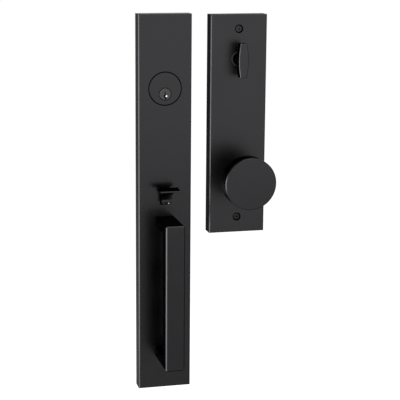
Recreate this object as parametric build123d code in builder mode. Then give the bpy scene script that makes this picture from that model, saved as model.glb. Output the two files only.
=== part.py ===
from build123d import *
from math import atan2, cos, degrees, pi, radians, sin
import os

os.makedirs("parts", exist_ok=True)

# Entry door handleset: a long exterior trim with a grip, a thumbpiece and a key cylinder,
# and an interior trim with a thumbturn and a knob, set out side by side.
# Lengths are in millimetres. X runs to the right, Y into the door and Z up.
# The origin is on the door face, on the axis of the round cylinder housing.
# A level is a distance in front of the door face, so it is minus Y.

# Both plates
plate_thickness = 18.0
front_wall = 4.5
side_wall = 4.0
plate_bevel = 1.0
rib_width = 2.5
rib_height = 6.0
bore_pitch = 139.7
door_thickness = 45.0
turning_fit = 0.05
pin_squeeze = 0.02
seat_fit = 0.05
end_play = 0.2
thread_spare = 1.0
cut_spare = 1.0

# Exterior plate
exterior_width = 64.0
exterior_top = 87.1
exterior_foot = 39.3
post_radius = 6.0
post_spigot_radius = 3.5
post_spigot_height = 2.5
post_reach = 10.0
post_thread_depth = 20.0
foot_post_height = 26.0

# Through bolts, shared by both trims
bolt_radius = 2.5
bolt_shank_radius = 2.3
bolt_rise = 35.6
bolt_fall = 51.7
bolt_head_radius = 3.6
bolt_head_depth = 2.4
bolt_socket_radius = 1.6
bolt_clearance = 0.25
bolt_mouth_radius = 5.1
bolt_recess = 1.8
bolt_engagement = 6.0
bolt_boss_radius = 6.5

# Cylinder and key plug
cylinder_radius = 19.4
boss_radius = 19.0
cylinder_gap = 0.35
cylinder_bevel = 0.5
cylinder_reach = 12.0
flange_radius = 22.5
flange_thickness = 3.0
plug_drop = 6.4
plug_radius = 6.35
plug_face_radius = 7.2
plug_face_gap = 0.4
plug_face_thickness = 2.5
plug_face_bevel = 0.4
plug_tail = 5.4
keyway_depth = 24.0
keyway_width = 1.1
keyway_top = 2.8
keyway_bottom = 6.2
ward_width = 1.3
ward_slope = 0.4
left_ward_top = 0.9
left_ward_height = 2.6
right_ward_top = 4.6
right_ward_height = 1.1
guard_radius = 0.95
guard_length = 6.0
guard_x = 1.65
guard_drop = 2.5
clip_groove_depth = 0.9
clip_thickness = 0.9
clip_width = 2.6
clip_opening = 7.0
blade_width = 7.0
blade_thickness = 2.2
blade_seat = 6.0
blade_pin_radius = 0.8
blade_pin_inset = 0.8
retainer_height = 43.0
retainer_thickness = 3.0
retainer_margin = 0.5
retainer_corner = 3.0
retainer_screw_x = 22.5
retainer_screw_z = 17.5

# Small screws
screw_radius = 1.6
screw_head_radius = 3.0
screw_head_depth = 1.7
screw_length = 7.5
screw_post_radius = 3.6
screw_clearance = 0.15
socket_depth = 0.8

# Grip
grip_width = 22.7
grip_height = 176.4
grip_projection = 57.0
grip_bar_depth = 18.5
grip_leg_height = 12.4
grip_drop = 7.1
grip_bevel = 1.2
grip_screw_radius = 2.5
grip_screw_head_radius = 4.4
grip_screw_head_depth = 3.0
grip_screw_length = 24.0

# Thumbpiece
slot_width = 12.8
slot_height = 15.4
slot_corner = 1.0
slot_drop = 1.2
pivot_level = 10.0
pivot_rise = 15.7
pivot_radius = 2.0
barrel_radius = 3.2
barrel_left = 6.6
neck_half_height = 5.0
neck_root_height = 2.8
neck_edge = 1.0
neck_back_rise = 5.2
neck_back_gap = 0.8
neck_back_bow = 1.5
thumb_travel = 18.0
neck_width = 12.2
neck_fan = 2.4
neck_fan_width = 14.0
fan_end = 0.1
neck_cove = 6.2
neck_cove_drop = 3.0
neck_projection = 10.0
neck_front_height = 4.2
paddle_width = 24.1
paddle_projection = 30.5
paddle_thickness = 1.9
paddle_lip = 1.2
paddle_heel = 1.6
paddle_rise = 13.3
paddle_slope = 1.7
paddle_depth = 14.5
paddle_dish = 0.4
paddle_bevel = 0.4
tail_width = 5.0
tail_thickness = 3.0
tail_x = 15.2
tail_pin_radius = 1.75
tail_pin_level = 0.0
tail_pin_inner_x = 7.5
pin_clip_thickness = 0.8
pin_clip_radius = 3.3
pin_clip_opening = 2.6
pin_groove_depth = 0.5
pin_end = 1.0
spring_space = 5.0
spring_wire = 0.45
spring_turns = 3.5
coil_steps = 12

# Hub that the thumbpiece turns
hub_ratio = 1.25
hub_radius = 7.0
hub_boss_radius = 8.6
hub_flange_radius = 8.6
hub_flange_level = 7.2
spindle_size = 8.0
spindle_fit = 0.1
crank_drop = 5.0
crank_radius = 1.75
crank_gap = 0.2
crank_reach_back = 9.6
crank_width = 5.9

# Carrier behind the thumbpiece
carrier_level = 0.5
carrier_thickness = 3.0
carrier_edge = 25.5
carrier_top = 22.0
carrier_bridge = 3.9
carrier_foot = 29.0
carrier_screw_inset = 4.5
ear_thickness = 3.2
ear_radius = 3.2
bearing_rim = 2.0

# Interior plate
interior_width = 68.6
interior_rise = 52.4
interior_foot = 70.7
trim_gap = 23.0
thumbturn_z = 33.2

# Thumbturn
turn_blade_height = 40.2
turn_blade_width = 11.4
turn_blade_end = 7.6
turn_blade_depth = 12.0
turn_blade_bevel = 0.6
turn_stem_base_radius = 7.5
turn_stem_radius = 5.4
turn_stem_length = 10.5
turn_shank_radius = 6.5
turn_shank_level = 6.0
turn_bush_wall = 2.5
turn_slot_width = 2.6
turn_slot_height = 7.6
turn_slot_depth = 12.0

# Knob
knob_radius = 30.7
knob_projection = 60.0
knob_drum = 20.0
knob_bevel = 0.8
knob_back_radius = 17.0
knob_back_slope = 3.0
knob_cove = 7.0
knob_cove_fullness = 0.3
knob_shank_radius = 12.5
knob_shank_level = 9.4
knob_bush_wall = 2.5
knob_socket_level = 44.0
set_screw_radius = 2.5
set_screw_level = 30.0
set_screw_socket = 1.4
set_screw_socket_depth = 3.0
set_screw_inset = 0.6

# Bushes and retaining rings
bush_flange_width = 2.2
bush_flange_thickness = 1.5
bush_recess = 0.2
washer_thickness = 1.0
ring_thickness = 1.0
ring_width = 3.2
ring_groove_depth = 0.9

# Spring cassette of the knob
cassette_radius = 19.5
cassette_wall = 2.0
cassette_back = 1.6
cassette_level = 0.5
cassette_height = 8.4
cassette_screw_reach = 25.5
cassette_screw_length = 11.5
head_recess = 1.0
cassette_ear_radius = 4.4
rotor_radius = 8.6
rotor_journal_radius = 7.2
spiral_strip = 0.6
spiral_half_turns = 9

# Places worked out from the sizes above
cavity = plate_thickness - front_wall
plug_z = -plug_drop
latch_z = plug_z - bore_pitch
upper_bolt = plug_z + bolt_rise
lower_bolt = latch_z - bolt_fall
grip_top = latch_z - grip_drop
grip_bottom = grip_top - grip_height
exterior_bottom = grip_bottom - exterior_foot
grip_gap = grip_projection - grip_bar_depth
leg_heights = (grip_top - grip_leg_height / 2, grip_bottom + grip_leg_height / 2)
pivot_z = latch_z + pivot_rise
slot_z = pivot_z - slot_drop
carrier_front = carrier_level + carrier_thickness
interior_x = exterior_width / 2 + trim_gap + interior_width / 2
interior_top = thumbturn_z + interior_rise
knob_z = thumbturn_z - bore_pitch
interior_bottom = knob_z - interior_foot
interior_upper_bolt = thumbturn_z + bolt_rise
interior_lower_bolt = knob_z - bolt_fall
knob_front = plate_thickness + knob_projection


def facing(level, x=0.0, z=0.0):
    """Plane that faces the viewer, at a level in front of the door face."""
    return Plane(origin=(x, -level, z), x_dir=(1, 0, 0), z_dir=(0, -1, 0))


def backing(level, x=0.0, z=0.0):
    """Plane that faces the door, at a level in front of the door face."""
    return Plane(origin=(x, -level, z), x_dir=(1, 0, 0), z_dir=(0, 1, 0))


def side_view(x=0.0):
    """Plane seen from the left: its X is the level and its Y is the height."""
    return Plane(origin=(x, 0, 0), x_dir=(0, -1, 0), z_dir=(-1, 0, 0))


def turning(x, z):
    """Plane through an axis across the door: its X is the radius and its Y the level."""
    return Plane(origin=(x, 0, z), x_dir=(1, 0, 0), z_dir=(0, 0, -1))


def axis_at(x, z):
    """Axis across the door."""
    return Axis((x, 0, z), (0, -1, 0))


def driven_screw(start, head_radius, head_depth, shank_radius, length, head_taper=0.0, socket=0.0):
    """Screw driven along a plane's normal, its head's top on the plane."""
    with BuildSketch(start) as head:
        Circle(head_radius)
    extrude(head.sketch, amount=head_depth, taper=head_taper)
    with BuildSketch(start.offset(head_depth)) as shank:
        Circle(shank_radius)
    extrude(shank.sketch, amount=length)
    if socket:
        with BuildSketch(start) as drive:
            RegularPolygon(socket, 6)
        extrude(drive.sketch, amount=socket_depth * head_depth, mode=Mode.SUBTRACT)


def cone_angle(first_radius, last_radius, length):
    """Half angle of a cone between two radii."""
    return degrees(atan2(first_radius - last_radius, length))


def between(first, last, count):
    """Heights spread evenly between two others."""
    return [first + (last - first) * (step + 1) / (count + 1) for step in range(count)]


def hollow_plate(x, bottom, top, width):
    """Cast plate with bevelled front edges and a hollow back."""
    middle = (bottom + top) / 2
    with BuildPart() as plate:
        with BuildSketch(facing(0, x, middle)):
            Rectangle(width, top - bottom)
        extrude(amount=plate_thickness)
        chamfer(plate.faces().sort_by(Axis.Y)[0].edges(), plate_bevel)
        with BuildSketch(facing(0, x, middle)):
            Rectangle(width - 2 * side_wall, top - bottom - 2 * side_wall)
        extrude(amount=cavity, mode=Mode.SUBTRACT)
    return plate.part


def cross_ribs(x, width, heights):
    """Ribs across the hollow of a plate."""
    with BuildSketch(facing(cavity, x)) as ribs:
        with Locations(*[(0, z) for z in heights]):
            Rectangle(width - 2 * side_wall, rib_width)
    extrude(ribs.sketch, amount=-rib_height)


def posts(places, radius, level, x=0.0):
    """Round posts from the inside of a plate's front wall down to a level."""
    with BuildSketch(facing(cavity, x)) as rounds:
        with Locations(*places):
            Circle(radius)
    extrude(rounds.sketch, amount=level - cavity)


def holes(places, radius, level, depth, x=0.0):
    """Round holes from a level towards the viewer."""
    with BuildSketch(facing(level, x)) as rounds:
        with Locations(*places):
            Circle(radius)
    extrude(rounds.sketch, amount=depth, mode=Mode.SUBTRACT)


def retaining_ring(x, z, level, inner_radius, width, thickness, opening):
    """Open ring that snaps into a groove."""
    with BuildPart() as ring:
        with BuildSketch(facing(level, x, z)):
            Circle(inner_radius + width)
            Circle(inner_radius, mode=Mode.SUBTRACT)
            with Locations((0, -inner_radius - width)):
                Rectangle(opening, 2 * inner_radius + width, mode=Mode.SUBTRACT)
        extrude(amount=thickness)
    return ring.part


def flanged_bush(x, z, inner_radius, wall):
    """Bush in a plate's front wall, its flange inside the hollow."""
    with BuildPart() as bush:
        with BuildSketch(facing(cavity - bush_flange_thickness, x, z)):
            Circle(inner_radius + wall + bush_flange_width)
        extrude(amount=bush_flange_thickness)
        with BuildSketch(facing(cavity, x, z)):
            Circle(inner_radius + wall)
        extrude(amount=front_wall - bush_recess)
        with BuildSketch(facing(cavity - bush_flange_thickness, x, z)):
            Circle(inner_radius)
        extrude(amount=plate_thickness, mode=Mode.SUBTRACT)
    return bush.part


# Exterior plate: cylinder hole, thumbpiece slot, spigots, bosses and ribs
retainer_screw_places = [
    (side * retainer_screw_x, end * retainer_screw_z) for side in (-1, 1) for end in (-1, 1)
]
carrier_screw_places = [
    (carrier_screw_inset - carrier_edge, pivot_z + carrier_top - carrier_screw_inset),
    (carrier_edge - carrier_screw_inset, pivot_z + carrier_top - carrier_screw_inset),
    (carrier_screw_inset - carrier_edge, pivot_z - carrier_foot + carrier_screw_inset),
]
bolt_post_places = [(0, upper_bolt), (0, lower_bolt), (0, exterior_bottom + foot_post_height)]
exterior_ribs = [
    *between(exterior_top, upper_bolt, 1),
    *between(-retainer_height / 2, pivot_z + carrier_top, 2),
    *between(lower_bolt, leg_heights[1], 3),
]
spigot_level = cavity - post_spigot_height
retainer_hole_depth = screw_length - retainer_thickness + thread_spare
carrier_hole_depth = screw_head_depth + screw_length - carrier_thickness + thread_spare
hub_hole_depth = cavity - hub_flange_level + end_play
retainer_level = cavity - flange_thickness - retainer_thickness
retainer_width = exterior_width - 2 * (side_wall + retainer_margin)

with BuildPart() as exterior_plate:
    add(hollow_plate(0, exterior_bottom, exterior_top, exterior_width))
    cross_ribs(0, exterior_width, exterior_ribs)
    posts(bolt_post_places, post_spigot_radius, spigot_level)
    posts(retainer_screw_places, screw_post_radius, cavity - flange_thickness)
    posts(carrier_screw_places, screw_post_radius, carrier_front)
    posts([(0, latch_z)], hub_boss_radius, hub_flange_level)
    holes(retainer_screw_places, screw_radius, cavity - flange_thickness, retainer_hole_depth)
    holes(carrier_screw_places, screw_radius, carrier_front, carrier_hole_depth)
    holes([(0, latch_z)], hub_radius + turning_fit, hub_flange_level, hub_hole_depth)
    holes([(0, z) for z in leg_heights], grip_screw_radius + bolt_clearance, cavity, front_wall)
    holes([(0, 0)], cylinder_radius + cylinder_gap, cavity, front_wall)
    mouth = exterior_plate.faces().sort_by(Axis.Y)[0].edges().filter_by(GeomType.CIRCLE)
    chamfer(mouth.sort_by(SortBy.RADIUS)[-1], cylinder_bevel)
    with BuildSketch(facing(cavity, 0, slot_z)):
        RectangleRounded(slot_width, slot_height, slot_corner)
    extrude(amount=front_wall, mode=Mode.SUBTRACT)
exterior_plate.part.label = "exterior_plate"
export_step(exterior_plate.part, "parts/exterior_plate.step")


# Threaded posts pressed over the spigots of the exterior plate
with BuildPart() as plate_posts:
    with BuildSketch(facing(-post_reach)):
        with Locations(*bolt_post_places):
            Circle(post_radius)
    extrude(amount=post_reach + cavity)
    holes(bolt_post_places, bolt_radius, -post_reach, post_thread_depth)
    holes(bolt_post_places, post_spigot_radius + seat_fit, spigot_level, post_spigot_height)
plate_posts.part.label = "plate_posts"
export_step(plate_posts.part, "parts/plate_posts.step")


# Grip: one rectangular-section D-shaped casting with a screw hole in each leg
with BuildPart() as grip:
    with BuildSketch(side_view()):
        with Locations((plate_thickness + grip_projection / 2, (grip_top + grip_bottom) / 2)):
            Rectangle(grip_projection, grip_height)
        with Locations((plate_thickness + grip_gap / 2, (grip_top + grip_bottom) / 2)):
            Rectangle(grip_gap, grip_height - 2 * grip_leg_height, mode=Mode.SUBTRACT)
    extrude(amount=grip_width / 2, both=True)
    outer_ends = grip.edges().filter_by(Axis.X).group_by(Axis.Y)[0]
    bar_edges = grip.edges().filter_by(Axis.Z).group_by(Axis.Y)[:2]
    leg_edges = grip.edges().filter_by(Axis.Y)
    chamfer(outer_ends + bar_edges[0] + bar_edges[1] + leg_edges, grip_bevel)
    holes([(0, z) for z in leg_heights], grip_screw_radius, plate_thickness, grip_screw_length)
grip.part.label = "grip"
export_step(grip.part, "parts/grip.step")


# Screws that hold the grip from inside the plate
with BuildPart() as grip_screws:
    for leg_z in leg_heights:
        driven_screw(
            facing(cavity - grip_screw_head_depth, 0, leg_z),
            grip_screw_head_radius,
            grip_screw_head_depth,
            grip_screw_radius - seat_fit,
            grip_screw_length,
            socket=grip_screw_head_radius / 2,
        )
grip_screws.part.label = "grip_screws"
export_step(grip_screws.part, "parts/grip_screws.step")


# Cylinder housing: round body flush with the plate, a flange behind its wall, a boss and the plug's bore
with BuildPart() as cylinder_housing:
    with BuildSketch(facing(0)):
        Circle(cylinder_radius)
    extrude(amount=plate_thickness)
    with BuildSketch(facing(-cylinder_reach)):
        Circle(boss_radius)
    extrude(amount=cylinder_reach)
    rim = cylinder_housing.faces().sort_by(Axis.Y)[0].edges()
    chamfer(rim, cylinder_bevel)
    with BuildSketch(facing(cavity - flange_thickness)):
        Circle(flange_radius)
    extrude(amount=flange_thickness)
    holes([(0, plug_z)], plug_radius + turning_fit, -cylinder_reach, cylinder_reach + plate_thickness)
    holes(
        [(0, plug_z)],
        plug_face_radius + plug_face_gap,
        plate_thickness - plug_face_thickness - turning_fit,
        plug_face_thickness + turning_fit,
    )
cylinder_housing.part.label = "cylinder_housing"
export_step(cylinder_housing.part, "parts/cylinder_housing.step")


# Retainer plate behind the cylinder's flange
with BuildPart() as cylinder_retainer:
    with BuildSketch(facing(retainer_level)):
        RectangleRounded(retainer_width, retainer_height, retainer_corner)
        Circle(cylinder_radius + cylinder_gap, mode=Mode.SUBTRACT)
        with Locations(*retainer_screw_places):
            Circle(screw_radius + screw_clearance, mode=Mode.SUBTRACT)
    extrude(amount=retainer_thickness)
cylinder_retainer.part.label = "cylinder_retainer"
export_step(cylinder_retainer.part, "parts/cylinder_retainer.step")

with BuildPart() as retainer_screws:
    for screw_x, screw_z in retainer_screw_places:
        driven_screw(
            facing(retainer_level - screw_head_depth, screw_x, screw_z),
            screw_head_radius,
            screw_head_depth,
            screw_radius - seat_fit,
            screw_length,
            socket=screw_head_radius / 2,
        )
retainer_screws.part.label = "retainer_screws"
export_step(retainer_screws.part, "parts/retainer_screws.step")


# Key plug: face, barrel, keyway with two wards, hole for the guard pin, clip groove and blade slot
plug_end = -cylinder_reach - plug_tail
clip_level = -cylinder_reach - end_play - clip_thickness
left_ward_bottom = -left_ward_top - left_ward_height
with BuildPart() as key_plug:
    with BuildSketch(facing(plug_end, 0, plug_z)):
        Circle(plug_radius)
    extrude(amount=plate_thickness - plug_end)
    with BuildSketch(facing(plate_thickness - plug_face_thickness, 0, plug_z)):
        Circle(plug_face_radius)
    extrude(amount=plug_face_thickness)
    chamfer(key_plug.faces().sort_by(Axis.Y)[0].edges(), plug_face_bevel)
    with BuildSketch(facing(plate_thickness, 0, plug_z)):
        with BuildLine():
            Polyline(
                (-keyway_width / 2, keyway_top),
                (keyway_width / 2, keyway_top),
                (keyway_width / 2, -right_ward_top),
                (keyway_width / 2 + ward_width, -right_ward_top),
                (keyway_width / 2 + ward_width, -right_ward_top - right_ward_height),
                (keyway_width / 2, -keyway_bottom),
                (-keyway_width / 2, -keyway_bottom),
                (-keyway_width / 2, left_ward_bottom),
                (-keyway_width / 2 - ward_width, left_ward_bottom + ward_slope),
                (-keyway_width / 2 - ward_width, -left_ward_top - ward_slope),
                (-keyway_width / 2, -left_ward_top),
                close=True,
            )
        make_face()
    extrude(amount=-keyway_depth, mode=Mode.SUBTRACT)
    holes([(guard_x, plug_z - guard_drop)], guard_radius, plate_thickness - guard_length, guard_length)
    with BuildSketch(facing(clip_level, 0, plug_z)):
        Circle(plug_radius + cut_spare)
        Circle(plug_radius - clip_groove_depth, mode=Mode.SUBTRACT)
    extrude(amount=clip_thickness + end_play, mode=Mode.SUBTRACT)
    with BuildSketch(facing(plug_end, 0, plug_z)):
        Rectangle(blade_width + 2 * seat_fit, blade_thickness + 2 * seat_fit)
    extrude(amount=blade_seat, mode=Mode.SUBTRACT)
    with BuildSketch(Plane.XY.offset(plug_z - plug_radius)):
        with Locations((0, -plug_end - blade_seat / 2)):
            Circle(blade_pin_radius)
    extrude(amount=2 * plug_radius, mode=Mode.SUBTRACT)
key_plug.part.label = "key_plug"
export_step(key_plug.part, "parts/key_plug.step")

with BuildPart() as drill_guard_pin:
    with BuildSketch(facing(plate_thickness - guard_length, guard_x, plug_z - guard_drop)):
        Circle(guard_radius - pin_squeeze)
    extrude(amount=guard_length)
drill_guard_pin.part.label = "drill_guard_pin"
export_step(drill_guard_pin.part, "parts/drill_guard_pin.step")

with BuildPart() as plug_clip:
    add(
        retaining_ring(
            0,
            plug_z,
            clip_level,
            plug_radius - clip_groove_depth + seat_fit,
            clip_width,
            clip_thickness,
            clip_opening,
        )
    )
plug_clip.part.label = "plug_clip"
export_step(plug_clip.part, "parts/plug_clip.step")


# Torque blade that passes through the deadbolt, and its cross pin
blade_end = -(door_thickness + cavity)
with BuildPart() as torque_blade:
    with BuildSketch(facing(blade_end, 0, plug_z)):
        Rectangle(blade_width, blade_thickness)
    extrude(amount=plug_end + blade_seat - end_play - blade_end)
    with BuildSketch(Plane.XY.offset(plug_z - plug_radius)):
        with Locations((0, -plug_end - blade_seat / 2)):
            Circle(blade_pin_radius)
    extrude(amount=2 * plug_radius, mode=Mode.SUBTRACT)
torque_blade.part.label = "torque_blade"
export_step(torque_blade.part, "parts/torque_blade.step")

with BuildPart() as blade_pin:
    with BuildSketch(Plane.XY.offset(plug_z - plug_radius + blade_pin_inset)):
        with Locations((0, -plug_end - blade_seat / 2)):
            Circle(blade_pin_radius - pin_squeeze)
    extrude(amount=2 * (plug_radius - blade_pin_inset))
blade_pin.part.label = "blade_pin"
export_step(blade_pin.part, "parts/blade_pin.step")


# Thumbpiece: the paddle and neck are the side outline cut by the front outline,
# then the pivot barrel, the tail and the pin that lifts the crank are added
neck_bottom = pivot_z - neck_half_height
neck_back = plate_thickness + neck_back_gap
neck_front = plate_thickness + neck_projection
paddle_front = plate_thickness + paddle_projection
paddle_top = pivot_z + paddle_rise
paddle_back = paddle_front - paddle_depth
paddle_under = paddle_top - paddle_thickness
tail_pin_z = latch_z - crank_drop - crank_radius - crank_gap - tail_pin_radius
barrel_right = tail_x + tail_thickness
with BuildPart() as thumbpiece:
    with BuildSketch(side_view()):
        with BuildLine():
            Polyline(
                (pivot_level, pivot_z - neck_root_height),
                (plate_thickness, neck_bottom),
                (neck_front - neck_edge, neck_bottom),
                (neck_front, neck_bottom + neck_edge),
                (neck_front, neck_bottom + neck_front_height),
            )
            ThreePointArc(
                (neck_front, neck_bottom + neck_front_height),
                (neck_front + neck_cove, paddle_under - neck_cove_drop),
                (paddle_front - paddle_lip, paddle_under),
            )
            Polyline(
                (paddle_front - paddle_lip, paddle_under),
                (paddle_front - paddle_bevel, paddle_under),
                (paddle_front, paddle_under + paddle_bevel),
                (paddle_front, paddle_top - paddle_bevel),
                (paddle_front - paddle_bevel, paddle_top),
            )
            ThreePointArc(
                (paddle_front - paddle_bevel, paddle_top),
                ((paddle_front + paddle_back) / 2, paddle_top + paddle_slope / 2 - paddle_dish),
                (paddle_back, paddle_top + paddle_slope),
            )
            heel = Line(
                (paddle_back, paddle_top + paddle_slope),
                (paddle_back - paddle_lip, paddle_top + paddle_slope - paddle_heel),
            )
            ThreePointArc(
                heel @ 1,
                (
                    (paddle_back + neck_back) / 2 - neck_back_bow,
                    pivot_z + (paddle_rise + neck_back_rise) / 2 + neck_back_bow,
                ),
                (neck_back, pivot_z + neck_back_rise),
            )
            Polyline(
                (neck_back, pivot_z + neck_back_rise),
                (pivot_level, pivot_z + neck_root_height),
                (pivot_level, pivot_z - neck_root_height),
            )
        make_face()
    extrude(amount=paddle_width / 2, both=True)
    with BuildSketch(facing(0, 0, pivot_z)):
        with BuildLine():
            neck_side = Polyline(
                (0, -2 * neck_half_height),
                (neck_width / 2, -2 * neck_half_height),
                (neck_width / 2, neck_half_height),
                (neck_fan_width / 2, paddle_rise - paddle_thickness - neck_fan),
            )
            fan = ThreePointArc(
                neck_side @ 1,
                (neck_fan_width / 2 + neck_fan / 3, paddle_rise - paddle_thickness - neck_fan / 3),
                (paddle_width / 2, paddle_rise - paddle_thickness - fan_end),
            )
            Polyline(fan @ 1, (paddle_width / 2, 2 * paddle_rise), (0, 2 * paddle_rise))
            mirror(about=Plane.YZ)
        make_face()
    extrude(amount=paddle_front + cut_spare, mode=Mode.INTERSECT)
    with BuildSketch(Plane.YZ.offset(-barrel_left)):
        with Locations((-pivot_level, pivot_z)):
            Circle(barrel_radius)
    extrude(amount=barrel_left + barrel_right)
    with BuildSketch(Plane.YZ.offset(tail_x)):
        SlotCenterPoint(
            (-(pivot_level + tail_pin_level) / 2, (pivot_z + tail_pin_z) / 2),
            (-tail_pin_level, tail_pin_z),
            tail_width,
        )
    extrude(amount=tail_thickness)
    with BuildSketch(Plane.YZ.offset(tail_pin_inner_x)):
        with Locations((-tail_pin_level, tail_pin_z)):
            Circle(tail_pin_radius)
    extrude(amount=tail_x - tail_pin_inner_x)
    with BuildSketch(Plane.YZ.offset(-barrel_left)):
        with Locations((-pivot_level, pivot_z)):
            Circle(pivot_radius + turning_fit)
    extrude(amount=barrel_left + barrel_right, mode=Mode.SUBTRACT)
thumbpiece.part.label = "thumbpiece"
export_step(thumbpiece.part, "parts/thumbpiece.step")


# Pivot pin through the ears of the carrier, and the clips on its ends
left_ear = -(barrel_left + spring_space)
right_ear = barrel_right + end_play
pin_groove_places = (left_ear - ear_thickness - pin_clip_thickness, right_ear + ear_thickness)
pin_left = pin_groove_places[0] - pin_end
pin_right = pin_groove_places[1] + pin_clip_thickness + pin_end
with BuildPart() as pivot_pin:
    with BuildSketch(Plane.YZ.offset(pin_left)):
        with Locations((-pivot_level, pivot_z)):
            Circle(pivot_radius)
    extrude(amount=pin_right - pin_left)
    for groove_x in pin_groove_places:
        with BuildSketch(Plane.YZ.offset(groove_x)):
            with Locations((-pivot_level, pivot_z)):
                Circle(pivot_radius + cut_spare)
                Circle(pivot_radius - pin_groove_depth, mode=Mode.SUBTRACT)
        extrude(amount=pin_clip_thickness, mode=Mode.SUBTRACT)
pivot_pin.part.label = "pivot_pin"
export_step(pivot_pin.part, "parts/pivot_pin.step")

with BuildPart() as pivot_clips:
    for groove_x in pin_groove_places:
        with BuildSketch(Plane.YZ.offset(groove_x)):
            with Locations((-pivot_level, pivot_z)):
                Circle(pin_clip_radius)
                Circle(pivot_radius - pin_groove_depth + seat_fit, mode=Mode.SUBTRACT)
            with Locations((-pivot_level, pivot_z + pin_clip_radius)):
                Rectangle(pin_clip_opening, 2 * pin_clip_radius, mode=Mode.SUBTRACT)
        extrude(amount=pin_clip_thickness)
pivot_clips.part.label = "pivot_clips"
export_step(pivot_clips.part, "parts/pivot_clips.step")


# Torsion spring on the pivot pin, between the barrel and the left ear
spring_radius = pivot_radius + spring_wire + end_play
spring_run = spring_space - 2 * (spring_wire + end_play)
spring_steps = round(coil_steps * spring_turns)
spring_points = [
    (
        left_ear + end_play + spring_wire + spring_run * step / spring_steps,
        -pivot_level + spring_radius * sin(2 * pi * step / coil_steps),
        pivot_z + spring_radius * cos(2 * pi * step / coil_steps),
    )
    for step in range(spring_steps + 1)
]
with BuildPart() as thumbpiece_spring:
    with BuildLine() as spring_line:
        Polyline(*spring_points)
    with BuildSketch(Plane(origin=spring_line.line @ 0, z_dir=spring_line.line % 0)):
        Circle(spring_wire)
    sweep(path=spring_line.line, transition=Transition.RIGHT)
thumbpiece_spring.part.label = "thumbpiece_spring"
export_step(thumbpiece_spring.part, "parts/thumbpiece_spring.step")


# Lift hub: the crank's reach makes its lift equal the tail's lift at full travel
hub_travel = hub_ratio * thumb_travel
tail_reach = pivot_level - tail_pin_level
tail_drop = pivot_z - tail_pin_z
tail_lift = tail_reach * sin(radians(thumb_travel)) + tail_drop * (1 - cos(radians(thumb_travel)))
crank_reach = (tail_lift - crank_drop * (1 - cos(radians(hub_travel)))) / sin(radians(hub_travel))
flange_front = hub_flange_level - end_play
flange_back = carrier_front + end_play
with BuildPart() as lift_hub:
    with BuildSketch(facing(carrier_level, 0, latch_z)):
        Circle(hub_radius)
    extrude(amount=cavity - carrier_level)
    with BuildSketch(facing(flange_back, 0, latch_z)):
        Circle(hub_flange_radius)
        SlotCenterPoint((crank_reach / 2, -crank_drop / 2), (crank_reach, -crank_drop), crank_width)
    extrude(amount=flange_front - flange_back)
    with BuildSketch(facing(-crank_reach_back, crank_reach, latch_z - crank_drop)):
        Circle(crank_radius)
    extrude(amount=crank_reach_back + flange_back)
    with BuildSketch(facing(carrier_level, 0, latch_z)):
        Rectangle(spindle_size + spindle_fit, spindle_size + spindle_fit)
    extrude(amount=cavity, mode=Mode.SUBTRACT)
lift_hub.part.label = "lift_hub"
export_step(lift_hub.part, "parts/lift_hub.step")


# Latch carrier: plate with two ears for the pivot pin and the hub's rear bearing
with BuildPart() as latch_carrier:
    with BuildSketch(facing(carrier_level, 0, pivot_z)):
        with Locations((0, (carrier_top + carrier_bridge) / 2)):
            Rectangle(2 * carrier_edge, carrier_top - carrier_bridge)
        with Locations((-carrier_edge / 2, (carrier_top - carrier_foot) / 2)):
            Rectangle(carrier_edge, carrier_top + carrier_foot)
        with Locations((0, -pivot_rise)):
            Circle(hub_radius + bearing_rim)
        with Locations(((right_ear + carrier_edge) / 2, (carrier_bridge - ear_radius) / 2)):
            Rectangle(carrier_edge - right_ear, carrier_bridge + ear_radius)
    extrude(amount=carrier_thickness)
    for ear_x in (left_ear - ear_thickness, right_ear):
        with BuildSketch(Plane.YZ.offset(ear_x)):
            with Locations((-pivot_level, pivot_z)):
                Circle(ear_radius)
            with Locations((-(pivot_level + carrier_front) / 2, pivot_z)):
                Rectangle(pivot_level - carrier_front, 2 * ear_radius)
        extrude(amount=ear_thickness)
        with BuildSketch(Plane.YZ.offset(ear_x)):
            with Locations((-pivot_level, pivot_z)):
                Circle(pivot_radius + pin_squeeze)
        extrude(amount=ear_thickness, mode=Mode.SUBTRACT)
    holes([(0, latch_z)], hub_radius + turning_fit, carrier_level, carrier_thickness)
    carrier_head_taper = cone_angle(screw_head_radius, screw_radius, screw_head_depth)
    for screw_x, screw_z in carrier_screw_places:
        with BuildSketch(facing(carrier_level, screw_x, screw_z)):
            Circle(screw_head_radius + screw_clearance)
        extrude(amount=screw_head_depth, taper=carrier_head_taper, mode=Mode.SUBTRACT)
    holes(carrier_screw_places, screw_radius + screw_clearance, carrier_level, carrier_thickness)
latch_carrier.part.label = "latch_carrier"
export_step(latch_carrier.part, "parts/latch_carrier.step")

with BuildPart() as carrier_screws:
    for screw_x, screw_z in carrier_screw_places:
        driven_screw(
            facing(carrier_level, screw_x, screw_z),
            screw_head_radius,
            screw_head_depth,
            screw_radius - seat_fit,
            screw_length,
            head_taper=carrier_head_taper,
            socket=screw_head_radius / 2,
        )
carrier_screws.part.label = "carrier_screws"
export_step(carrier_screws.part, "parts/carrier_screws.step")


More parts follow.
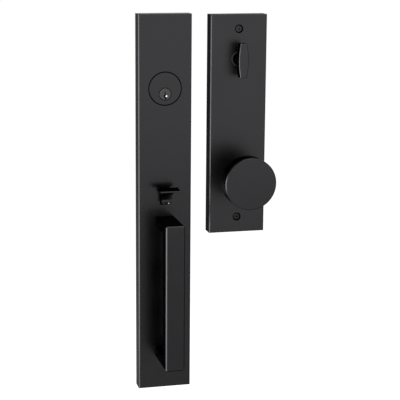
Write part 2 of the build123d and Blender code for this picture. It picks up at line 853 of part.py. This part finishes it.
# Interior plate: holes for the bushes and the countersunk through bolts, bosses and ribs
bolt_head_taper = cone_angle(bolt_head_radius, bolt_radius, bolt_head_depth)
bolt_mouth_taper = cone_angle(bolt_mouth_radius, bolt_head_radius + bolt_clearance, bolt_recess)
interior_bolt_places = [(0, interior_upper_bolt), (0, interior_lower_bolt)]
cassette_screw_places = [(0, knob_z + cassette_screw_reach), (0, knob_z - cassette_screw_reach)]
cassette_front = cassette_level + cassette_height
cassette_hole_depth = head_recess + screw_head_depth + cassette_screw_length - cassette_height + thread_spare
turn_bush_radius = turn_shank_radius + turning_fit + turn_bush_wall
knob_bush_radius = knob_shank_radius + turning_fit + knob_bush_wall
interior_ribs = [
    *between(interior_upper_bolt, thumbturn_z, 1),
    *between(thumbturn_z, knob_z + cassette_screw_reach, 3),
]
with BuildPart() as interior_plate:
    add(hollow_plate(interior_x, interior_bottom, interior_top, interior_width))
    cross_ribs(interior_x, interior_width, interior_ribs)
    posts(interior_bolt_places, bolt_boss_radius, 0, interior_x)
    posts(cassette_screw_places, screw_post_radius, cassette_front, interior_x)
    holes(interior_bolt_places, bolt_radius + bolt_clearance, 0, plate_thickness, interior_x)
    holes(cassette_screw_places, screw_radius, cassette_front, cassette_hole_depth, interior_x)
    holes([(0, thumbturn_z)], turn_bush_radius + seat_fit, cavity, front_wall, interior_x)
    holes([(0, knob_z)], knob_bush_radius + seat_fit, cavity, front_wall, interior_x)
    for bolt_x, bolt_z in interior_bolt_places:
        with BuildSketch(backing(plate_thickness, interior_x, bolt_z)):
            Circle(bolt_mouth_radius)
        extrude(amount=bolt_recess, taper=bolt_mouth_taper, mode=Mode.SUBTRACT)
        with BuildSketch(backing(plate_thickness - bolt_recess, interior_x, bolt_z)):
            Circle(bolt_head_radius + bolt_clearance)
        extrude(amount=bolt_head_depth, taper=bolt_head_taper, mode=Mode.SUBTRACT)
interior_plate.part.label = "interior_plate"
export_step(interior_plate.part, "parts/interior_plate.step")

bolt_shank_length = plate_thickness - bolt_recess - bolt_head_depth
with BuildPart() as through_bolts:
    for bolt_x, bolt_z in interior_bolt_places:
        driven_screw(
            backing(plate_thickness - bolt_recess, interior_x, bolt_z),
            bolt_head_radius,
            bolt_head_depth,
            bolt_shank_radius,
            bolt_shank_length,
            head_taper=bolt_head_taper,
            socket=bolt_socket_radius,
        )
        with BuildSketch(backing(0, interior_x, bolt_z)):
            Circle(bolt_radius)
        extrude(amount=door_thickness + bolt_engagement)
through_bolts.part.label = "through_bolts"
export_step(through_bolts.part, "parts/through_bolts.step")


# Thumbturn: barrel-sided blade on a flared stem, with a shank slotted for the torque blade
stem_front = plate_thickness + turn_stem_length
turn_stem_taper = cone_angle(turn_stem_base_radius, turn_stem_radius, turn_stem_length - end_play)
ring_level = cavity - bush_flange_thickness - end_play - ring_thickness
turn_ring_level = ring_level - washer_thickness
with BuildPart() as thumbturn:
    with BuildSketch(facing(turn_shank_level, interior_x, thumbturn_z)):
        Circle(turn_shank_radius)
    extrude(amount=plate_thickness + end_play - turn_shank_level)
    with BuildSketch(facing(plate_thickness + end_play, interior_x, thumbturn_z)):
        Circle(turn_stem_base_radius)
    extrude(amount=turn_stem_length - end_play, taper=turn_stem_taper)
    with BuildSketch(facing(stem_front, interior_x, thumbturn_z)):
        with BuildLine():
            blade_side = ThreePointArc(
                (turn_blade_end / 2, -turn_blade_height / 2),
                (turn_blade_width / 2, 0),
                (turn_blade_end / 2, turn_blade_height / 2),
            )
            Line(blade_side @ 1, (0, turn_blade_height / 2))
            Line(blade_side @ 0, (0, -turn_blade_height / 2))
            mirror(about=Plane.YZ)
        make_face()
    extrude(amount=turn_blade_depth)
    chamfer(thumbturn.faces().sort_by(Axis.Y)[0].edges(), turn_blade_bevel)
    with BuildSketch(facing(turn_ring_level, interior_x, thumbturn_z)):
        Circle(turn_shank_radius + cut_spare)
        Circle(turn_shank_radius - ring_groove_depth, mode=Mode.SUBTRACT)
    extrude(amount=ring_thickness, mode=Mode.SUBTRACT)
    with BuildSketch(facing(turn_shank_level, interior_x, thumbturn_z)):
        Rectangle(turn_slot_height, turn_slot_width)
    extrude(amount=turn_slot_depth, mode=Mode.SUBTRACT)
thumbturn.part.label = "thumbturn"
export_step(thumbturn.part, "parts/thumbturn.step")

with BuildPart() as thumbturn_bush:
    add(flanged_bush(interior_x, thumbturn_z, turn_shank_radius + turning_fit, turn_bush_wall))
thumbturn_bush.part.label = "thumbturn_bush"
export_step(thumbturn_bush.part, "parts/thumbturn_bush.step")

with BuildPart() as thumbturn_washer:
    with BuildSketch(facing(ring_level + ring_thickness - washer_thickness, interior_x, thumbturn_z)):
        Circle(turn_shank_radius + ring_width)
        Circle(turn_shank_radius + turning_fit, mode=Mode.SUBTRACT)
    extrude(amount=washer_thickness)
thumbturn_washer.part.label = "thumbturn_washer"
export_step(thumbturn_washer.part, "parts/thumbturn_washer.step")

with BuildPart() as thumbturn_ring:
    add(
        retaining_ring(
            interior_x,
            thumbturn_z,
            turn_ring_level,
            turn_shank_radius - ring_groove_depth + seat_fit,
            ring_width,
            ring_thickness,
            turn_shank_radius,
        )
    )
thumbturn_ring.part.label = "thumbturn_ring"
export_step(thumbturn_ring.part, "parts/thumbturn_ring.step")


# Knob: flat drum, short cone and cove behind it, shank, square socket and set screw hole
knob_back = knob_front - knob_drum
with BuildPart() as knob:
    with BuildSketch(turning(interior_x, knob_z)):
        with BuildLine():
            Polyline(
                (0, knob_shank_level),
                (0, knob_front),
                (knob_radius - knob_bevel, knob_front),
                (knob_radius, knob_front - knob_bevel),
                (knob_radius, knob_back + knob_bevel),
                (knob_radius - knob_bevel, knob_back),
                (knob_back_radius + knob_bevel, knob_back - knob_back_slope),
            )
            cove = ThreePointArc(
                (knob_back_radius + knob_bevel, knob_back - knob_back_slope),
                (
                    knob_shank_radius + knob_cove_fullness * (knob_back_radius - knob_shank_radius),
                    knob_back - knob_back_slope - knob_cove_fullness * knob_cove,
                ),
                (knob_shank_radius, knob_back - knob_back_slope - knob_cove),
            )
            Polyline(cove @ 1, (knob_shank_radius, knob_shank_level), (0, knob_shank_level))
        make_face()
    revolve(axis=axis_at(interior_x, knob_z))
    with BuildSketch(facing(ring_level, interior_x, knob_z)):
        Circle(knob_shank_radius + cut_spare)
        Circle(knob_shank_radius - ring_groove_depth, mode=Mode.SUBTRACT)
    extrude(amount=ring_thickness, mode=Mode.SUBTRACT)
    with BuildSketch(facing(knob_shank_level, interior_x, knob_z)):
        Rectangle(spindle_size + spindle_fit, spindle_size + spindle_fit)
    extrude(amount=knob_socket_level - knob_shank_level, mode=Mode.SUBTRACT)
    with BuildSketch(Plane.XY.offset(knob_z)):
        with Locations((interior_x, -set_screw_level)):
            Circle(set_screw_radius + seat_fit)
    extrude(amount=-knob_radius, mode=Mode.SUBTRACT)
knob.part.label = "knob"
export_step(knob.part, "parts/knob.step")

with BuildPart() as knob_bush:
    add(flanged_bush(interior_x, knob_z, knob_shank_radius + turning_fit, knob_bush_wall))
knob_bush.part.label = "knob_bush"
export_step(knob_bush.part, "parts/knob_bush.step")

with BuildPart() as knob_ring:
    add(
        retaining_ring(
            interior_x,
            knob_z,
            ring_level,
            knob_shank_radius - ring_groove_depth + seat_fit,
            ring_width,
            ring_thickness,
            knob_shank_radius,
        )
    )
knob_ring.part.label = "knob_ring"
export_step(knob_ring.part, "parts/knob_ring.step")


# Spindle through the latch into the exterior hub, and the screw that holds the knob on it
spindle_end = -(door_thickness + hub_flange_level)
with BuildPart() as knob_spindle:
    with BuildSketch(facing(spindle_end, interior_x, knob_z)):
        Rectangle(spindle_size, spindle_size)
    extrude(amount=knob_socket_level - end_play - spindle_end)
    chamfer(knob_spindle.faces().sort_by(Axis.Y)[-1].edges(), plate_bevel)
knob_spindle.part.label = "knob_spindle"
export_step(knob_spindle.part, "parts/knob_spindle.step")

with BuildPart() as knob_set_screw:
    with BuildSketch(Plane.XY.offset(knob_z - spindle_size / 2)):
        with Locations((interior_x, -set_screw_level)):
            Circle(set_screw_radius)
    extrude(amount=-(knob_shank_radius - spindle_size / 2 - set_screw_inset))
    with BuildSketch(Plane.XY.offset(knob_z - knob_shank_radius + set_screw_inset)):
        with Locations((interior_x, -set_screw_level)):
            RegularPolygon(set_screw_socket, 6)
    extrude(amount=set_screw_socket_depth, mode=Mode.SUBTRACT)
knob_set_screw.part.label = "knob_set_screw"
export_step(knob_set_screw.part, "parts/knob_set_screw.step")


# Spring cassette: housing with two ears, square-bored rotor and flat spiral spring
inner_radius = cassette_radius - cassette_wall
rotor_back = cassette_level + cassette_back + end_play
with BuildPart() as cassette_housing:
    with BuildSketch(facing(cassette_level, interior_x, knob_z)):
        Circle(cassette_radius)
        SlotCenterToCenter(2 * cassette_screw_reach, 2 * cassette_ear_radius, rotation=90)
    extrude(amount=cassette_height)
    with BuildSketch(facing(cassette_level + cassette_back, interior_x, knob_z)):
        Circle(inner_radius)
    extrude(amount=cassette_height, mode=Mode.SUBTRACT)
    holes([(0, knob_z)], rotor_journal_radius + turning_fit, cassette_level, cassette_back, interior_x)
    holes(cassette_screw_places, screw_radius + screw_clearance, cassette_level, cassette_height, interior_x)
    with BuildSketch(facing(cassette_level, interior_x)):
        with Locations(*cassette_screw_places):
            Circle(screw_head_radius + screw_clearance)
    extrude(amount=screw_head_depth + head_recess, mode=Mode.SUBTRACT)
cassette_housing.part.label = "cassette_housing"
export_step(cassette_housing.part, "parts/cassette_housing.step")

with BuildPart() as cassette_rotor:
    with BuildSketch(facing(cassette_level, interior_x, knob_z)):
        Circle(rotor_journal_radius)
    extrude(amount=rotor_back - cassette_level)
    with BuildSketch(facing(rotor_back, interior_x, knob_z)):
        Circle(rotor_radius)
    extrude(amount=cassette_front - rotor_back)
    with BuildSketch(facing(cassette_level, interior_x, knob_z)):
        Rectangle(spindle_size + spindle_fit, spindle_size + spindle_fit)
    extrude(amount=cassette_height, mode=Mode.SUBTRACT)
cassette_rotor.part.label = "cassette_rotor"
export_step(cassette_rotor.part, "parts/cassette_rotor.step")

# Flat spiral spring from the rotor out to the wall: half turns whose centre moves from one to the next
spiral_level = rotor_back + end_play
spiral_width = cassette_front - end_play - spiral_level
spiral_start = rotor_radius + end_play + spiral_strip / 2
spiral_end = inner_radius - end_play - spiral_strip / 2
half_pitch = (spiral_end - spiral_start) / (spiral_half_turns - 1)
with BuildPart() as cassette_spring:
    for half_turn in range(spiral_half_turns):
        side = 1 if half_turn % 2 == 0 else -1
        middle_radius = spiral_start + half_turn * half_pitch
        with BuildSketch(facing(spiral_level, interior_x - (1 - side) * half_pitch / 2, knob_z)):
            Circle(middle_radius + spiral_strip / 2)
            Circle(middle_radius - spiral_strip / 2, mode=Mode.SUBTRACT)
            with Locations((0, -side * cassette_radius)):
                Rectangle(2 * cassette_radius, 2 * cassette_radius, mode=Mode.SUBTRACT)
        extrude(amount=spiral_width)
cassette_spring.part.label = "cassette_spring"
export_step(cassette_spring.part, "parts/cassette_spring.step")

with BuildPart() as cassette_screws:
    for screw_x, screw_z in cassette_screw_places:
        driven_screw(
            facing(cassette_level + head_recess, interior_x, screw_z),
            screw_head_radius,
            screw_head_depth,
            screw_radius - seat_fit,
            cassette_screw_length,
            socket=screw_head_radius / 2,
        )
cassette_screws.part.label = "cassette_screws"
export_step(cassette_screws.part, "parts/cassette_screws.step")
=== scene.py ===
import math

import bpy
from mathutils import Euler, Matrix, Vector


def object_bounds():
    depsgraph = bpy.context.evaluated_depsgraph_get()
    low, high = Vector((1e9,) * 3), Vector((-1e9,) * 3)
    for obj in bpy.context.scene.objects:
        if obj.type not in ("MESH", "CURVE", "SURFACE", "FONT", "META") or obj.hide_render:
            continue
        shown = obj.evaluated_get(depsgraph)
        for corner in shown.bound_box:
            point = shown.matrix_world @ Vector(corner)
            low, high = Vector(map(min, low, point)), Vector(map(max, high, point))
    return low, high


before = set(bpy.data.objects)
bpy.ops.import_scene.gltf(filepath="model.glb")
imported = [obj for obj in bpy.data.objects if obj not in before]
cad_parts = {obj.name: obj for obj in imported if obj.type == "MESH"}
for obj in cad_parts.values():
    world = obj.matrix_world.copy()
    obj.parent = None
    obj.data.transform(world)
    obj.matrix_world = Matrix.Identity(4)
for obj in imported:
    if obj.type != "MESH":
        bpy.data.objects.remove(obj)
cad_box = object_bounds()

# Colours, as linear values
COATING = (0.0150, 0.0150, 0.0158, 1)
COATING_PALER = (0.0174, 0.0174, 0.0182, 1)
ROUGHER_COATING = (0.0178, 0.0178, 0.0187, 1)
ROUGHER_PALER = (0.0206, 0.0206, 0.0215, 1)
PLUG_COATING = (0.026, 0.026, 0.027, 1)
PLUG_COATING_PALER = (0.029, 0.029, 0.030, 1)
SCREW_COATING = (0.011, 0.011, 0.012, 1)
COATING_EDGE = (0.33, 0.33, 0.33, 1)
# Painted shade: near black for the rings round the cylinder, plug and bolt mouths
PAINTED_SHADE_BLACK = (0.002, 0.002, 0.002, 1)
STEEL = (0.46, 0.46, 0.47, 1)
BRIGHT_STEEL = (0.62, 0.62, 0.63, 1)
ZINC = (0.33, 0.33, 0.34, 1)
NYLON = (0.012, 0.012, 0.012, 1)
FLOOR_COLOR = (0.86, 0.86, 0.86, 1)
WHITE = (1, 1, 1, 1)

# Roughness of each finish, and how far it strays to either side
PLATE_ROUGHNESS = 0.26
INTERIOR_ROUGHNESS = 0.36
PLUG_ROUGHNESS = 0.24
SCREW_ROUGHNESS = 0.2
BRIGHT_ROUGHNESS = 0.25
STEEL_ROUGHNESS = 0.38
ZINC_ROUGHNESS = 0.5
NYLON_ROUGHNESS = 0.45
FLOOR_ROUGHNESS = 0.9
COAT_SPREAD = 0.03
METAL_SPREAD = 0.07
PLASTIC_SPREAD = 0.05

# Surface detail: grains to the metre, depth of relief in metres, share of colour in the marks
COAT_CLOUDS = 22.0
COAT_GRAIN = 2500.0
COAT_RELIEF = 0.00002
METAL_MARKS = 900.0
PLASTIC_CLOUDS = 60.0
PLASTIC_GRAIN = 1200.0
FINE_RELIEF = 0.00001
MARK_SHADE = 0.82
PLASTIC_SHADE = 1.08
STEEL_STREAKS = (1.0, 0.2, 1.0)

# Range that noise mostly keeps to
NOISE_LOW = 0.3
NOISE_HIGH = 0.7

# Rings of painted shade on chamfers and mouths that lie in shadow, round the cylinder, plug and
# bolts: x and z of the axis, inner and outer radius, in metres
PAINTED_SHADE_RINGS = [
    (0.0, 0.0, 0.0189, 0.02025),
    (0.0, -0.0064, 0.0068, 0.0076),
    (0.0893, 0.0688, 0.0036, 0.0051),
    (0.0893, -0.1582, 0.0036, 0.0051),
]

# Camera, in metres and degrees
CAMERA_PLACE = Vector((-0.3351, -1.5000, 0.1940))
CAMERA_YAW = 14.32
CAMERA_DIP = 12.16
CAMERA_ROLL = 0.43
LENS = 117.0
SENSOR_WIDTH = 36.0

# Room
FLOOR_DROP = 0.65
FLOOR_SIZE = 60.0
FLOOR_GLOW = 0.40
WORLD_LIGHT = 0.70

# Lamps: name, direction from the object, distance, width and height in metres, power in watts
LAMPS = [
    ("front", (0.28, -0.95, 0.03), 3.0, 2.6, 1.4, 26.0),
    ("top", (0.25, -0.25, 0.94), 2.5, 2.0, 1.4, 26.0),
    ("left_strip", (-0.95, -0.25, -0.20), 2.0, 1.2, 1.8, 95.0),
]

COATED_NODES = [
    "exterior_plate",
    "grip",
    "cylinder_housing",
    "thumbpiece",
    "thumbturn",
    "knob",
]
STEEL_NODES = [
    "plate_posts",
    "grip_screws",
    "cylinder_retainer",
    "retainer_screws",
    "plug_clip",
    "torque_blade",
    "blade_pin",
    "pivot_pin",
    "pivot_clips",
    "thumbpiece_spring",
    "latch_carrier",
    "carrier_screws",
    "thumbturn_ring",
    "knob_ring",
    "knob_spindle",
    "knob_set_screw",
    "cassette_spring",
    "cassette_screws",
]
ZINC_NODES = ["lift_hub", "cassette_housing", "cassette_rotor"]
NYLON_NODES = ["thumbturn_bush", "thumbturn_washer", "knob_bush"]


def new_material(name):
    """Material with nodes: its tree, its principled shader and a place in the object, in metres."""
    material = bpy.data.materials.new(name)
    material.use_nodes = True
    tree = material.node_tree
    shader = tree.nodes["Principled BSDF"]
    place = tree.nodes.new("ShaderNodeTexCoord").outputs["Object"]
    return material, tree, shader, place


def noise(tree, place, scale, detail=4.0, roughness=0.5):
    """Noise of a given number of grains to the metre."""
    grain = tree.nodes.new("ShaderNodeTexNoise")
    grain.inputs["Scale"].default_value = scale
    grain.inputs["Detail"].default_value = detail
    grain.inputs["Roughness"].default_value = roughness
    tree.links.new(place, grain.inputs["Vector"])
    return grain.outputs["Fac"]


def mixed_color(tree, factor, first, second):
    """Colour between two, led by a factor."""
    mix = tree.nodes.new("ShaderNodeMix")
    mix.data_type = "RGBA"
    mix.inputs["A"].default_value = first
    mix.inputs["B"].default_value = second
    tree.links.new(factor, mix.inputs["Factor"])
    return mix.outputs["Result"]


def larger(tree, first, second):
    """The larger of two values."""
    choice = tree.nodes.new("ShaderNodeMath")
    choice.operation = "MAXIMUM"
    tree.links.new(first, choice.inputs[0])
    tree.links.new(second, choice.inputs[1])
    return choice.outputs["Value"]


def ranged(tree, value, low, high):
    """Noise, over the range it mostly keeps to, spread from low to high."""
    spread = tree.nodes.new("ShaderNodeMapRange")
    spread.inputs["From Min"].default_value = NOISE_LOW
    spread.inputs["From Max"].default_value = NOISE_HIGH
    spread.inputs["To Min"].default_value = low
    spread.inputs["To Max"].default_value = high
    tree.links.new(value, spread.inputs["Value"])
    return spread.outputs["Result"]


def bumped(tree, shader, height, distance):
    """Relief of a given depth, in metres."""
    bump = tree.nodes.new("ShaderNodeBump")
    bump.inputs["Distance"].default_value = distance
    tree.links.new(height, bump.inputs["Height"])
    tree.links.new(bump.outputs["Normal"], shader.inputs["Normal"])


def painted_shade_mask(tree, place):
    """1 within the rings of painted shade, 0 elsewhere."""
    flat = tree.nodes.new("ShaderNodeMapping")
    flat.inputs["Scale"].default_value = (1, 0, 1)
    tree.links.new(place, flat.inputs["Vector"])
    bands = []
    for x, z, inner, outer in PAINTED_SHADE_RINGS:
        distance = tree.nodes.new("ShaderNodeVectorMath")
        distance.operation = "DISTANCE"
        distance.inputs[1].default_value = (x, 0, z)
        tree.links.new(flat.outputs["Vector"], distance.inputs[0])
        band = tree.nodes.new("ShaderNodeMath")
        band.operation = "COMPARE"
        band.inputs[1].default_value = (inner + outer) / 2
        band.inputs[2].default_value = (outer - inner) / 2
        tree.links.new(distance.outputs["Value"], band.inputs[0])
        bands.append(band.outputs["Value"])
    total = bands[0]
    for other in bands[1:]:
        total = larger(tree, total, other)
    return total


def coated_metal(name, color, paler, roughness):
    """Black coating: fine grain, broad faint clouds in colour and sheen, with painted shade in the
    rings round the cylinder, plug and bolt mouths.
    """
    material, tree, shader, place = new_material(name)
    clouds = noise(tree, place, COAT_CLOUDS)
    grain = noise(tree, place, COAT_GRAIN, detail=2.0)
    coat = mixed_color(tree, clouds, color, paler)
    # Painted shade: near black mixed over the coat within the rings
    painted_shade = tree.nodes.new("ShaderNodeMix")
    painted_shade.data_type = "RGBA"
    painted_shade.inputs["B"].default_value = PAINTED_SHADE_BLACK
    tree.links.new(coat, painted_shade.inputs["A"])
    tree.links.new(painted_shade_mask(tree, place), painted_shade.inputs["Factor"])
    tree.links.new(painted_shade.outputs["Result"], shader.inputs["Base Color"])
    sheen = ranged(tree, clouds, roughness - COAT_SPREAD, roughness + COAT_SPREAD)
    tree.links.new(sheen, shader.inputs["Roughness"])
    shader.inputs["Metallic"].default_value = 1.0
    shader.inputs["Specular Tint"].default_value = COATING_EDGE
    bumped(tree, shader, grain, COAT_RELIEF)
    return material


def bare_metal(name, color, roughness, streaks=(1.0, 1.0, 1.0)):
    """Plain metal with fine marks, drawn out along the axis whose number is small."""
    material, tree, shader, place = new_material(name)
    stretch = tree.nodes.new("ShaderNodeMapping")
    stretch.inputs["Scale"].default_value = streaks
    tree.links.new(place, stretch.inputs["Vector"])
    marks = noise(tree, stretch.outputs["Vector"], METAL_MARKS, detail=3.0)
    darker = tuple(MARK_SHADE * part for part in color[:3]) + (1,)
    tree.links.new(mixed_color(tree, marks, darker, color), shader.inputs["Base Color"])
    sheen = ranged(tree, marks, roughness - METAL_SPREAD, roughness + METAL_SPREAD)
    tree.links.new(sheen, shader.inputs["Roughness"])
    shader.inputs["Metallic"].default_value = 1.0
    bumped(tree, shader, marks, FINE_RELIEF)
    return material


def moulded_plastic(name, color, roughness):
    """Plain moulded plastic."""
    material, tree, shader, place = new_material(name)
    clouds = noise(tree, place, PLASTIC_CLOUDS)
    paler = tuple(PLASTIC_SHADE * part for part in color[:3]) + (1,)
    tree.links.new(mixed_color(tree, clouds, color, paler), shader.inputs["Base Color"])
    sheen = ranged(tree, clouds, roughness - PLASTIC_SPREAD, roughness + PLASTIC_SPREAD)
    tree.links.new(sheen, shader.inputs["Roughness"])
    bumped(tree, shader, noise(tree, place, PLASTIC_GRAIN), FINE_RELIEF)
    return material


def dress(names, material):
    """Gives CAD nodes a material."""
    for name in names:
        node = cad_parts[name]
        node.data.materials.clear()
        node.data.materials.append(material)


def seen_directly(tree):
    """1 for rays that show the background itself or its image in a glossy or clear surface."""
    path = tree.nodes.new("ShaderNodeLightPath")
    total = path.outputs["Is Camera Ray"]
    for kind in ("Is Glossy Ray", "Is Transmission Ray"):
        total = larger(tree, total, path.outputs[kind])
    return total


def make_floor(level):
    """Wide white floor that keeps the object's shadow."""
    bpy.ops.mesh.primitive_plane_add(size=FLOOR_SIZE, location=(0, 0, level))
    floor = bpy.context.object
    floor.name = "floor"
    material = bpy.data.materials.new("floor_white")
    material.use_nodes = True
    tree = material.node_tree
    shader = tree.nodes["Principled BSDF"]
    shader.inputs["Base Color"].default_value = FLOOR_COLOR
    shader.inputs["Roughness"].default_value = FLOOR_ROUGHNESS
    shader.inputs["Specular IOR Level"].default_value = 0.0
    shader.inputs["Emission Color"].default_value = WHITE
    glow = tree.nodes.new("ShaderNodeMath")
    glow.operation = "MULTIPLY"
    glow.inputs[1].default_value = FLOOR_GLOW
    tree.links.new(seen_directly(tree), glow.inputs[0])
    tree.links.new(glow.outputs["Value"], shader.inputs["Emission Strength"])
    floor.data.materials.append(material)


def make_world():
    """White where it is seen, softer where it lights the object."""
    world = bpy.data.worlds.new("studio")
    bpy.context.scene.world = world
    world.use_nodes = True
    tree = world.node_tree
    background = tree.nodes["Background"]
    background.inputs["Color"].default_value = WHITE
    strength = tree.nodes.new("ShaderNodeMapRange")
    strength.inputs["To Min"].default_value = WORLD_LIGHT
    strength.inputs["To Max"].default_value = 1.0
    tree.links.new(seen_directly(tree), strength.inputs["Value"])
    tree.links.new(strength.outputs["Result"], background.inputs["Strength"])


def make_lamp(name, direction, distance, width, height, power, target):
    """Soft rectangular lamp aimed at a point."""
    lamp = bpy.data.lights.new(name, "AREA")
    lamp.shape = "RECTANGLE"
    lamp.size = width
    lamp.size_y = height
    lamp.energy = power
    holder = bpy.data.objects.new(name, lamp)
    bpy.context.scene.collection.objects.link(holder)
    away = Vector(direction).normalized()
    holder.location = target + distance * away
    holder.rotation_euler = away.to_track_quat("Z", "Y").to_euler()


def make_camera():
    """Camera of the photograph: in front, left of the middle and a little above."""
    data = bpy.data.cameras.new("camera")
    data.lens = LENS
    data.sensor_width = SENSOR_WIDTH
    camera = bpy.data.objects.new("camera", data)
    bpy.context.scene.collection.objects.link(camera)
    aim = Euler((math.radians(90 - CAMERA_DIP), 0, -math.radians(CAMERA_YAW))).to_matrix()
    roll = Matrix.Rotation(math.radians(CAMERA_ROLL), 3, "Z")
    camera.matrix_world = Matrix.Translation(CAMERA_PLACE) @ (aim @ roll).to_4x4()
    bpy.context.scene.camera = camera


def dress_all():
    """Every CAD node's material."""
    coat = coated_metal("matte_black", COATING, COATING_PALER, PLATE_ROUGHNESS)
    rougher = coated_metal("matte_black_rougher", ROUGHER_COATING, ROUGHER_PALER, INTERIOR_ROUGHNESS)
    dress(COATED_NODES, coat)
    dress(["interior_plate"], rougher)
    dress(["key_plug"], coated_metal("satin_black", PLUG_COATING, PLUG_COATING_PALER, PLUG_ROUGHNESS))
    dress(["through_bolts"], coated_metal("black_steel", SCREW_COATING, COATING, SCREW_ROUGHNESS))
    dress(["drill_guard_pin"], bare_metal("bright_steel", BRIGHT_STEEL, BRIGHT_ROUGHNESS))
    dress(STEEL_NODES, bare_metal("plated_steel", STEEL, STEEL_ROUGHNESS, STEEL_STREAKS))
    dress(ZINC_NODES, bare_metal("cast_zinc", ZINC, ZINC_ROUGHNESS))
    dress(NYLON_NODES, moulded_plastic("nylon", NYLON, NYLON_ROUGHNESS))


dress_all()
low_corner, high_corner = cad_box
middle = (low_corner + high_corner) / 2
make_floor(low_corner.z - FLOOR_DROP)
make_world()
for lamp_facts in LAMPS:
    make_lamp(*lamp_facts, target=middle)
make_camera()
bpy.context.scene.view_settings.view_transform = "Standard"
